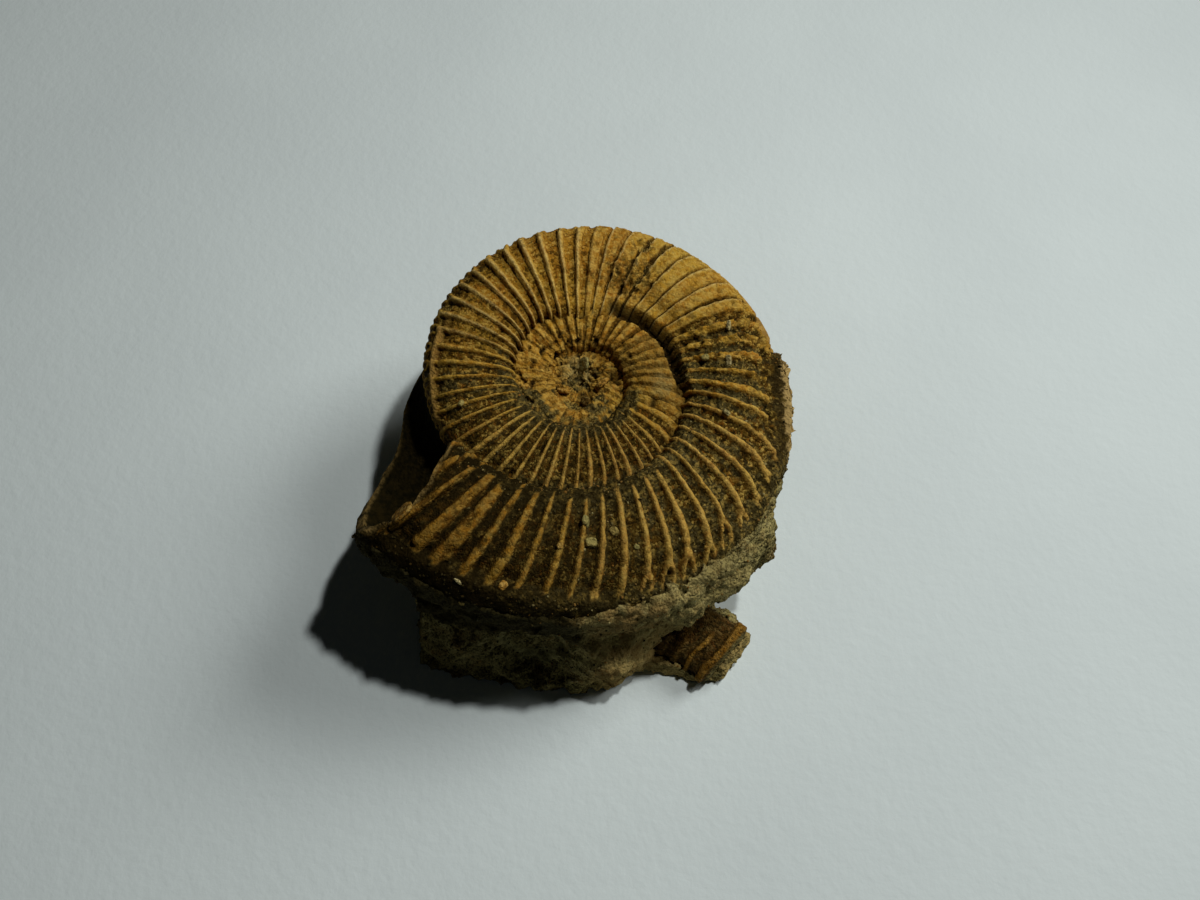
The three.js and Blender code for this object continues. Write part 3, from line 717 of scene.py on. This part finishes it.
def fragment_tree():
    tree, size = mesh_tree("Whorl fragment", FRAGMENT_SIZES)
    mesh, along, around = grid(tree, FRAGMENT_COLUMNS, FRAGMENT_ROWS)
    last = FRAGMENT_COLUMNS - 1
    mesh = store(
        mesh, angle=along * (size["To"] - size["From"]) + size["From"], row=around * -360 + 180,
        squeeze=closed_ends(along * last, last))
    angle, row, squeeze = kept(tree, "angle", "row", "squeeze")
    across = row.cosine().signed_power(size["Section Power"])
    upwards = row.sine().signed_power(size["Section Power"])

    def place(rise):
        wide = (size["Half Width"] + rise) * across * squeeze
        high = (size["Half Thickness"] + rise) * upwards * squeeze
        turn = size["Roll"]
        radius = size["Arc Radius"] + wide * turn.cosine() - high * turn.sine()
        height = wide * turn.sine() + high * turn.cosine()
        return vector(tree, angle.cosine() * radius, angle.sine() * radius, height)

    smooth_place = place(0)
    lumps = smooth_place.noise(0.5, 3, 21)
    grain = smooth_place.noise(1.9, 3, 22)
    wobble = lumps * 0.5
    broad = (angle - row.along(BROAD_RIB) + wobble).size().ramp(2.3, 1.1)
    thin = (angle - row.along(THIN_RIB) + wobble).size().ramp(1.3, 0.5) * row.ramp(66, 90)
    turns = (angle - 50) / size["Rib Step"]
    faint = (turns - turns.math("ROUND", turns)).size().ramp(0.42, 0.1) * angle.ramp(58, 61) * 0.5
    crest = broad.at_least(thin * 0.75).at_least(faint)
    rough_end = angle.ramp(47.6, 46.4)
    rise = (crest - 1) * size["Rib Relief"] + lumps * 0.16 + grain * (0.08 + rough_end * 0.22)
    mesh = store(mesh, rise=rise - rough_end * 0.35, end=rough_end,
                 crest=broad.at_least(thin) * (1 - rough_end) + faint * 0.35)
    mesh = moved(mesh, place(kept(tree, "rise")[0]))
    x, y, z = here(tree).parts()
    mesh = moved(mesh, vector(tree, x, y, z.at_least(size["Underside"] - SECOND_CENTRE.z)))
    return finish_tree(set_down(mesh, SECOND_CENTRE), size["Material"])


def fragment_material():
    """Dark brown shell with orange ribs, and green-grey mudstone on its broken end."""
    material, tree, place = new_material("Fragment shell")
    speckle = place.noise(1.2, 4, 23)
    fine = place.noise(3.5, 3, 24)
    mottle = use_group(tree, mottle_look, Place=place, Fineness=3.2)
    look = use_group(tree, mudstone_look, Place=place, Stain=0.1)
    crest, end = marks(tree, "crest", "end")
    colour = painted(
        tree, mix(tree, speckle.ramp(-0.5, 0.5), (0.025, 0.017, 0.004), (0.085, 0.045, 0.009)),
        (mottle["Rust"] * 0.35, (0.13, 0.045, 0.008)),
        (crest, mix(tree, speckle.ramp(-0.3, 0.5), (0.17, 0.077, 0.008), (0.31, 0.165, 0.025))),
        (mottle["Pale"] * 0.22, (0.33, 0.22, 0.07)),
        (mottle["Dark"] * 0.7, (0.014, 0.01, 0.003)),
        (end, mix(tree, 0.4, look["Colour"], (0.06, 0.04, 0.008))))
    return finish_material(
        material, colour, 0.75 + fine * 0.1, mottle["Height"] + fine * 0.4, depth=0.00025)


fragment = grow("whorl_fragment_shell", fragment_tree(), FRAGMENT_SIZES, fragment_material())
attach(fragment, "root")
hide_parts("whorl_fragment")


# The mudstone
# What is left of the lump that the shells lay in: a block under the main shell, a crust
# round its right and front edge, and a tongue at the front right. It broke along rough,
# sandy faces, and its crust still laps on to the ribs.
STONE_SIZES = {
    "Lump Rise": 1.1, "Knob Rise": 0.8, "Crag Rise": 2.6, "Grain Rise": 0.55, "Lap Reach": 1.9,
    "Rim Wander": 2.4, "Hollow Dent": 1.5,
}
# Size of the faces that the CAD node's broken stone is cut into
STONE_VOXEL = 0.00037
# Middle of the round hollow in the front face, across and up
HOLLOW_X = -7
HOLLOW_Z = 8.5
# Knolls on the front face: place, reach and height
KNOLLS = [
    ((4, -29.5, 2), 8, 0.8), ((4, -28, 7), 7, 3.6), ((14.7, -24.6, 15), 5, 1.2),
    ((25.5, -15.5, 16), 5, 1.4), ((20, -21.5, 15), 4, 0.9), ((-17, -27, 7), 4, 1),
    ((-23, -20, 13), 4, 1), ((-1.5, -28, 12), 3.5, 0.9),
]


def remeshed(node, voxel):
    """The shape of a CAD node, with its loose triangles joined up, in even faces of this size."""
    bare = bmesh.new()
    bare.from_mesh(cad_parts[node].data)
    bmesh.ops.remove_doubles(bare, verts=bare.verts, dist=1e-6)
    mesh = bpy.data.meshes.new("rough_stone")
    bare.to_mesh(mesh)
    bare.free()
    block = add_object("rough_stone", mesh)
    modifier = block.modifiers.new("Even faces", "REMESH")
    modifier.mode = "VOXEL"
    modifier.voxel_size = voxel
    return applied(block)


def object_mesh(thing):
    return add_node(thing.tree, "GeometryNodeObjectInfo", {"Object": thing})["Geometry"]


def near_meshes(*meshes):
    """The distance to the nearest face of these meshes, in metres, and its place."""
    tree = meshes[0].tree
    target = add_node(tree, "GeometryNodeJoinGeometry", {0: list(meshes)})[0]
    near = add_node(tree, "GeometryNodeProximity", {0: target}, target_element="FACES")
    return near["Distance"], near["Position"]


def from_hollow(x, z):
    """The distance from the round hollow's middle, seen from the front."""
    return ((x - HOLLOW_X) ** 2 + (z - HOLLOW_Z) ** 2) ** 0.5


def stone_tree():
    tree, size = mesh_tree("Broken mudstone", STONE_SIZES, "Shell", "Fragment")
    position = here(tree)
    normal = here(tree, "Normal")
    place = position.scaled(1000)
    away, nearest = near_meshes(object_mesh(size["Shell"]), object_mesh(size["Fragment"]))
    away = away * 1000

    lumps = place.noise(0.13, 2, 12)
    knobs = place.noise(0.42, 3, 13)
    grains = place.cells(0.9)["Distance"]
    free = away.ramp(0.4, 3)
    height = lumps * size["Lump Rise"] * free + knobs * size["Knob Rise"] * (free * 0.7 + 0.3)
    height = height + place.noise(0.85, 2, 19) * (free * 0.5 + 0.1)
    crags = place.noise(0.24, 4, 14).size() - 0.2
    height = height + (0.45 - grains) * size["Grain Rise"] * 2 + crags * size["Crag Rise"] * free
    x, y, z = place.parts()
    ring = from_hollow(x, z) + knobs * 0.8
    in_front = y.ramp(-18, -22)
    height = height - ring.ramp(7, 3.5) * in_front * size["Hollow Dent"]
    height = height + (ring - 7.8).peak(1.4) * in_front * 0.5
    height = height - x.ramp(26, 29) * 0.6
    _, normal_y, _ = normal.parts()
    for knoll, reach, tall in KNOLLS:
        far = place.vector_math("SUBTRACT", knoll).vector_math("LENGTH")
        height = height + (far + lumps * 1.5).ramp(reach, 0) * tall * normal_y.ramp(0.1, -0.3)
    mesh = moved(size["Mesh"], position.vector_math("ADD", normal.scaled(height * MM)))
    wander = add_node(tree, "ShaderNodeTexNoise", {"Vector": place, "Scale": 0.5, "Detail": 2})["Color"]
    wander = wander.vector_math("SUBTRACT", (0.5, 0.5, 0.5))
    at_rim = away.ramp(2.2, 0.9) * size["Rim Wander"] * MM
    mesh = moved(mesh, position.vector_math("ADD", wander.scaled(at_rim)))

    to_shell = nearest.vector_math("SUBTRACT", position)
    facing = to_shell.vector_math("NORMALIZE").vector_math("DOT_PRODUCT", normal)
    pull = facing.ramp(-0.1, 0.4) * away.ramp(size["Lap Reach"], size["Lap Reach"] * 0.4)
    mesh = moved(mesh, position.vector_math("ADD", to_shell.scaled(pull * (knobs * 0.3 + 1.05))))

    inputs = {"Value": position, "Iterations": 1}
    smoother = add_node(tree, "GeometryNodeBlurAttribute", inputs, data_type="FLOAT_VECTOR")
    mesh = moved(mesh, smoother["Value"])
    x, y, z = position.parts()
    return finish_tree(moved(mesh, vector(tree, x, y, z.at_least(0))), size["Material"])


def stone_material():
    """Olive-brown mudstone with sandy grains, pale crumbs, brown iron stains, painted shade and painted
    light.
    """
    material, tree, place = new_material("Mudstone")
    look = use_group(tree, mudstone_look, Place=place, Stain=0.7)
    x, y, z = place.parts()
    ring = from_hollow(x, z) + place.noise(0.4, 2, 18) * 0.9
    edge = x.ramp(28, 29.2) * (z + y * -0.077).ramp(19.6, 20.6)
    rusty = (x - 7).size().ramp(8, 3) * y.ramp(-24, -27)
    # A pale tan patch of painted light on the front face below the ledge, at the right
    sandy = y.ramp(-22, -25) * x.ramp(-1, 4) * z.ramp(14, 9)
    colour = painted(
        tree, look["Colour"],
        # Painted shade on the front at the left, darker further left
        (y.ramp(-15, -20) * x.ramp(3, -3) * (x.ramp(-4, -12) * 0.2 + 0.15), (0.02, 0.018, 0.006)),
        # Painted shade, near black, high on the front left of the stone, below the shell
        (z.ramp(10, 13) * y.ramp(-11, -17) * x.ramp(4, -3) * 0.85, (0.014, 0.011, 0.003)),
        # Painted shade on the right side, just below the shell's rim
        (x.within(22, 25, 28.2, 28.9) * z.ramp(12, 16) * y.ramp(-10, -4) * 0.75, (0.035, 0.02, 0.005)),
        # Painted highlight on the rim of the round hollow in the front face
        ((ring - 4.6).size().ramp(0.9, 0.2) * y.ramp(-22, -25) * 0.45, (0.3, 0.27, 0.11)),
        (edge * place.noise(0.6, 3, 16).ramp(-0.9, -0.2) * 0.8, (0.55, 0.38, 0.14)),
        (rusty * place.noise(0.35, 3, 17).ramp(-0.3, 0.2) * 0.7, (0.15, 0.065, 0.013)),
        # Painted light, pale tan, on the front face at the right
        (sandy * place.noise(0.5, 3, 15).ramp(-0.5, 0.2) * 0.7, (0.42, 0.3, 0.1)),
        # Painted light, pale, on the front ledge at the right
        (y.ramp(-17, -21) * x.ramp(-3, 5) * z.ramp(9, 12) * 0.3, (0.36, 0.28, 0.1)))
    return finish_material(material, colour, look["Roughness"], look["Height"], depth=0.00034)


stone = grow("mudstone", stone_tree(), {**STONE_SIZES, "Shell": shell, "Fragment": fragment},
             stone_material(), remeshed("matrix", STONE_VOXEL))
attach(stone, "root")
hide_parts("matrix")


# The loose grains
# Sand grains, small shells and chips of calcite that lie in the grooves, held by a film of
# mud, and an orange flake of shell at the broken edge. Each is one closed lump.
# Growth angle and row of each, its length, width and height in millimetres, turn, and tone
# (0 dark, 0.4 orange, 0.7 green-grey, 1 pale)
LOOSE_GRAINS = [
    (267.4, 105, 1.7, 1.2, 0.8, 20, 0.72), (266.9, 91, 1.5, 1.3, 0.9, 70, 0.66),
    (260.4, 95, 1.3, 1.1, 0.8, 10, 0.62), (287.3, 49, 1.3, 1.1, 0.9, 0, 0.5),
    (294.6, 17, 1.0, 0.9, 0.7, 0, 0.6), (296.4, 39, 2.6, 0.35, 0.35, 75, 1),
    (197, 100, 1.5, 1.1, 0.6, 30, 0.9), (247, 111, 1.0, 0.7, 0.6, 50, 0),
    (318.9, 67, 3.8, 3.3, 0.7, -25, 0.22), (175, 96, 1.6, 0.8, 0.6, 20, 0.95),
    (171, 118, 1.2, 0.9, 0.6, 60, 0.7), (160, 84, 1.4, 0.7, 0.5, 10, 0.95),
    (-20, 70, 0.9, 0.7, 0.5, 0, 0.7),
    (276, 88, 0.9, 0.8, 0.6, 0, 0.55), (255, 80, 0.8, 0.6, 0.5, 30, 0.75),
]
# Place on the disc of the lumps of calcite at the worn centre, length, width, height and tone
CORE_GRAINS = [
    ((-0.3, 1), 2.8, 2, 0.5, 0.8), ((1.9, 0.4), 2.4, 1.8, 0.8, 0.5),
    ((-1.6, -1.4), 2, 1.4, 0.6, 0.4), ((1, -2.2), 1.8, 1.2, 0.8, 0.15),
]
# How high over the middle of the disc they are let down on to its skin, and their turn
CORE_HEIGHT = 5
CORE_TURN = 30
GRAIN_SIZES = {"Boxiness": 0.62, "Roughness": 0.16}
GRIT_ROUGHNESS = 0.8


def shell_place(angle, row):
    """The place on the smooth main shell for a growth angle and a row, in the frame's metres."""
    def radius(at):
        growth = SHELL_SIZES["Outer Growth" if at > 0 else "Inner Growth"]
        return SHELL_SIZES["Reference Radius"] * growth ** (at / 360)

    outer = radius(angle)
    inner = radius(angle - 360) * SHELL_SIZES["Whorl Grip"] - SHELL_SIZES["Whorl Sink"]
    half = (outer - inner) / 2
    power = SHELL_SIZES["Section Power"]
    across, upwards = [copysign(abs(part) ** power, part) for part in (cos(radians(row)), sin(radians(row)))]
    out = (outer + inner) / 2 + half * across
    local = Vector((-cos(radians(angle)) * out, sin(radians(angle)) * out,
                    half * SHELL_SIZES["Thickness"] * upwards))
    return disc_to_frame(local)


def disc_to_frame(local):
    return (AXIS_PLACE + DISC_CENTRE + DISC_LEAN.to_matrix() @ local) * MM


def grain_seats():
    """One point for each loose grain on the shell's skin, with its size, turn and tone."""
    bpy.context.view_layer.update()
    seats = [(shell_place(angle, row), *rest) for angle, row, *rest in LOOSE_GRAINS]
    seats += [(disc_to_frame(Vector((x, y, CORE_HEIGHT))), long, wide, high, CORE_TURN, tone)
              for (x, y), long, wide, high, tone in CORE_GRAINS]
    mesh = bpy.data.meshes.new("grain_seats")
    found = [shell.closest_point_on_mesh(place) for place, *_ in seats]
    mesh.from_pydata([place for _, place, _, _ in found], [], [])
    for index, name in enumerate(("long", "wide", "high", "turn", "tone"), 1):
        layer = mesh.attributes.new(name, "FLOAT", "POINT")
        for point, seat in enumerate(seats):
            layer.data[point].value = seat[index]
    up = mesh.attributes.new("up", "FLOAT_VECTOR", "POINT")
    for point, (_, _, normal, _) in enumerate(found):
        up.data[point].vector = normal
    return mesh


def grain_tree():
    tree, size = mesh_tree("Loose grains", GRAIN_SIZES)
    position = here(tree)
    ball = add_node(tree, "GeometryNodeMeshIcoSphere", {"Radius": 0.5, "Subdivisions": 5})["Mesh"]
    ball = moved(ball, vector(tree, *[(part * 2).signed_power(size["Boxiness"]) * 0.5
                                      for part in position.parts()]))
    up, = kept(tree, "up", kind="FLOAT_VECTOR")
    stand = add_node(tree, "FunctionNodeAlignRotationToVector", {"Vector": up}, axis="Z")[0]
    long, wide, high, turn = kept(tree, "long", "wide", "high", "turn")
    inputs = {"Rotation": stand, "Rotate By": vector(tree, 0, 0, turn * (pi / 180))}
    twist = add_node(tree, "FunctionNodeRotateRotation", inputs, rotation_space="LOCAL")[0]
    lumps = add_node(tree, "GeometryNodeInstanceOnPoints", {
        "Points": size["Mesh"], "Instance": ball, "Rotation": twist,
        "Scale": vector(tree, long * MM, wide * MM, high * MM)})[0]
    lumps = add_node(tree, "GeometryNodeRealizeInstances", {0: lumps})[0]
    rough = position.scaled(1000).noise(1.1, 5, 41) * size["Roughness"] * high.at_least(0.6)
    swollen = position.vector_math("ADD", here(tree, "Normal").scaled(rough * (2 * MM)))
    return finish_tree(moved(lumps, swollen), size["Material"])


def grain_material():
    """Calcite and sand in dark, orange, green-grey and pale, by each grain's tone."""
    material, tree, place = new_material("Loose grain")
    mottle = use_group(tree, mottle_look, Place=place, Fineness=2.6)
    tone, = marks(tree, "tone")
    colour = painted(
        tree, mix(tree, tone.ramp(0.05, 0.4), (0.03, 0.02, 0.006), (0.34, 0.16, 0.02)),
        (tone.ramp(0.45, 0.7), (0.26, 0.22, 0.07)),
        (tone.ramp(0.75, 1), (0.46, 0.38, 0.17)),
        (mottle["Dark"] * 0.65, (0.03, 0.02, 0.005)),
        (mottle["Pale"] * 0.35, (0.55, 0.4, 0.12)))
    return finish_material(material, colour, GRIT_ROUGHNESS, mottle["Height"], depth=0.0002)


grains = grow("loose_grains", grain_tree(), GRAIN_SIZES, grain_material(), grain_seats())
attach(grains, "root")


# The sand
# Coarse sand that stands out of the broken mudstone and the mud in the grooves, a tenth to
# half a millimetre across. It is one joined mesh of small lumps.
SAND_SIZES = {
    "Stone Density": 600000, "Groove Density": 1100000, "Smallest": 0.00008, "Largest": 0.00026,
}


def sand_tree():
    tree, size = mesh_tree("Sand", SAND_SIZES, "Stone", "Shell")
    stone_mesh = object_mesh(size["Stone"])
    shell_mesh = object_mesh(size["Shell"])
    away, _ = near_meshes(shell_mesh)
    _, _, z = here(tree).parts()
    bare = (away * 1000).ramp(0.2, 0.6) * (z * 1000).ramp(0.4, 0.9)
    mud, row, angle = kept(tree, "mud", "row", "angle")
    groove = mud * row.ramp(-10, 5) * angle.ramp(-130, -100)
    spread = [add_node(tree, "GeometryNodeDistributePointsOnFaces",
                       {"Mesh": mesh, "Density": density, "Seed": seed})["Points"]
              for mesh, density, seed in ((stone_mesh, bare * size["Stone Density"], 5),
                                          (shell_mesh, groove * size["Groove Density"], 6))]
    points = add_node(tree, "GeometryNodeJoinGeometry", {0: spread})[0]
    ball = add_node(tree, "GeometryNodeMeshIcoSphere", {"Radius": 1, "Subdivisions": 1})["Mesh"]
    wide = chance(tree, 0, 1, 7) ** 2.5 * (size["Largest"] - size["Smallest"]) + size["Smallest"]
    shape = chance(tree, (0.7, 0.7, 0.6), (1.4, 1.1, 1), 8, "FLOAT_VECTOR").scaled(wide)
    turn = chance(tree, (0, 0, 0), (2 * pi, 2 * pi, 2 * pi), 9, "FLOAT_VECTOR")
    inputs = {"Points": points, "Instance": ball, "Rotation": turn, "Scale": shape}
    sand = add_node(tree, "GeometryNodeInstanceOnPoints", inputs)[0]
    sand = store(sand, "INSTANCE", tone=chance(tree, 0, 1, 10))
    return finish_tree(sand, size["Material"], smooth=False)


def sand_material():
    """Quartz and rusty sand, each grain in its own tone, with painted shade at the front left."""
    material, tree, place = new_material("Sand")
    tone, = marks(tree, "tone")
    x, y, _ = place.parts()
    colour = painted(
        tree, mix(tree, tone.ramp(0.1, 0.55), (0.025, 0.02, 0.006), (0.14, 0.105, 0.035)),
        (tone.ramp(0.55, 0.8), (0.2, 0.1, 0.02)),
        (tone.ramp(0.88, 1), (0.3, 0.25, 0.1)),
        # Painted shade on the sand at the front left
        (x.ramp(2, -12) * y.ramp(-12, -20) * 0.85, (0.016, 0.012, 0.003)))
    return finish_material(material, colour, GRIT_ROUGHNESS, place.noise(3, 2, 51), depth=0.00005)


sand = grow("sand", sand_tree(), {**SAND_SIZES, "Stone": stone, "Shell": shell}, sand_material())
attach(sand, "root")


# The camera and the light
# The photograph was taken from 64 degrees above the floor, close above the fossil. Light
# comes down from behind on the right, with a broad, softer light lower on the right.
CAMERA_PLACE = Vector((2.381, -64.893, 145.426)) * MM
CAMERA_PITCH = radians(63.6)
CAMERA_LENS = 29.58
CAMERA_SENSOR = 36

camera = add_object("camera", bpy.data.cameras.new("camera"))
camera.location = CAMERA_PLACE
camera.rotation_euler = (radians(90) - CAMERA_PITCH, 0, 0)
camera.data.lens = CAMERA_LENS
camera.data.sensor_width = CAMERA_SENSOR
camera.data.clip_start = 0.01
bpy.context.scene.camera = camera

# Place and width in metres, and power in watts
LIGHTS = {
    "key_light": ((0.095, 0.04, 0.28), 0.015, 0.365),
    "side_light": ((0.68, 0.36, 0.62), 0.42, 4.8),
}
for name, (position, width, power) in LIGHTS.items():
    lamp = bpy.data.lights.new(name, "AREA")
    lamp.size = width
    lamp.energy = power
    light = add_object(name, lamp)
    light.location = position
    light.rotation_euler = (-Vector(position)).to_track_quat("-Z", "Y").to_euler()

SKY_COLOUR = (0.9, 1, 1)
SKY_STRENGTH = 0.008
sky = bpy.data.worlds.new("room")
sky.use_nodes = True
connect(sky.node_tree.nodes["Background"], {"Color": SKY_COLOUR, "Strength": SKY_STRENGTH})
bpy.context.scene.world = sky
bpy.context.scene.view_settings.view_transform = "Standard"


# The floor
# A sheet of plain pale paper, which stands in for the table that the fossil lies on. It is
# flat, a little uneven in tone, and so wide that no edge of it shows from any side.
FLOOR_REACH = 1.5
floor_mesh = bpy.data.meshes.new("floor")
corners = [(x * FLOOR_REACH, y * FLOOR_REACH, 0) for x, y in ((-1, -1), (1, -1), (1, 1), (-1, 1))]
floor_mesh.from_pydata(corners, [], [(0, 1, 2, 3)])
floor = add_object("floor", floor_mesh)
material, tree, place = new_material("Paper", shine=0.5)
paper = mix(tree, place.noise(0.02, 3, 9).ramp(-0.6, 0.6), (0.64, 0.71, 0.69), (0.69, 0.765, 0.74))
floor_mesh.materials.append(finish_material(
    material, paper, 0.9 + place.noise(0.8, 3, 10) * 0.02, place.noise(0.6, 3, 11), depth=0.00005))
